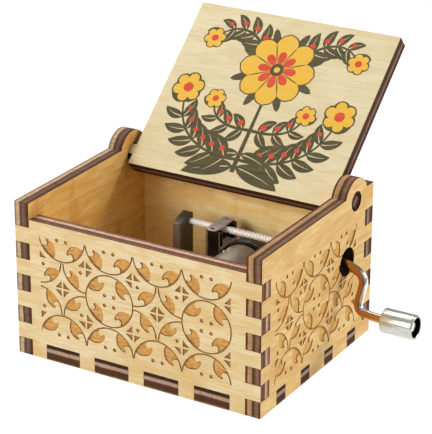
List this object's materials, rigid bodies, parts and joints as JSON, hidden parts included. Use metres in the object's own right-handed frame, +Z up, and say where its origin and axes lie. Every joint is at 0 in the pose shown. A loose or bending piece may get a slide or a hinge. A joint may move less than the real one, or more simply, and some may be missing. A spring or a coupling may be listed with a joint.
{
  "type": "hand-crank music box",
  "caption": "Finger-jointed plywood music box with an engraved body, a hinged lid held open, and a comb movement turned by a bent wire crank.",
  "frame": {"origin": "middle of the box's underside, the face that it stands on", "axes": "+Z up, +X out through the side with the crank, -Y out through the front panel"},
  "size_m": [0.0835, 0.0767, 0.0656],
  "materials": {
    "plywood": "laser-cut birch plywood, matt, with engraved ornament",
    "printed_lid_wood": "laser-cut plywood, matt, printed with a floral spray",
    "bed_zinc": "die-cast, dull grey",
    "bracket_steel": "darkened sheet steel",
    "bridge_steel": "satin sheet steel",
    "post_black": "blackened",
    "worm_steel": "turned, bright",
    "cylinder_steel": "satin, with raised pins",
    "comb_steel": "ground spring steel",
    "brass": "machined",
    "screw_steel": "zinc plated",
    "crank_chrome": "polished, nickel plated",
    "knob_chrome": "satin nickel plated"
  },
  "bodies": {
    "box": {"bottom_panel": "plywood", "front_panel": "plywood", "back_panel": "plywood", "left_panel": "plywood", "right_panel": "plywood", "bed_plate": "bed_zinc", "bed_screw_1": "screw_steel", "bed_screw_2": "screw_steel", "bed_screw_3": "screw_steel", "left_bracket": "bracket_steel", "left_bracket_screw": "screw_steel", "right_bracket": "bracket_steel", "right_bracket_screw": "screw_steel", "front_bearing": "bed_zinc", "front_bearing_screw": "screw_steel", "rear_bearing": "bed_zinc", "rear_bearing_screw": "screw_steel", "bridge_post_front": "post_black", "bridge_post_rear": "post_black", "bridge_plate": "bridge_steel", "bridge_tie": "bridge_steel", "comb": "comb_steel", "comb_seat": "bed_zinc", "comb_screw_1": "screw_steel", "comb_screw_2": "screw_steel"},
    "lid": {"lid": "printed_lid_wood"},
    "crank": {"worm_shaft": "worm_steel", "shaft_collar": "brass", "crank_hub": "crank_chrome", "hub_set_screw_1": "screw_steel", "hub_set_screw_2": "screw_steel", "crank_wire": "crank_chrome"},
    "knob": {"crank_knob": "knob_chrome"},
    "cylinder": {"music_cylinder": "cylinder_steel", "cylinder_cap_front": "cylinder_steel", "cylinder_cap_rear": "cylinder_steel", "cylinder_arbor": "worm_steel", "arbor_clip": "bracket_steel", "arbor_sleeve": "bracket_steel", "wheel_flange": "post_black", "worm_wheel": "brass"}
  },
  "joints": [
    {"name": "lid_hinge", "type": "hinge", "parent": "box", "child": "lid", "pos_m": [0, 0.0175, 0.0359], "axis": [1, 0, 0], "range_deg": [0, 138.5]},
    {"name": "crank_turn", "type": "hinge", "parent": "box", "child": "crank", "pos_m": [0, 0.014, 0.02315], "axis": [1, 0, 0], "continuous": true},
    {"name": "knob_spin", "type": "hinge", "parent": "crank", "child": "knob", "pos_m": [0.0475, 0.01039, 0.01181], "axis": [1, 0, 0], "continuous": true},
    {"name": "cylinder_spin", "type": "hinge", "parent": "box", "child": "cylinder", "pos_m": [0.0069, 0, 0.0155], "axis": [0, 1, 0], "continuous": true}
  ],
  "couplings": [
    {"joint": "cylinder_spin", "follows": "crank_turn", "ratio": -0.018519}
  ]
}
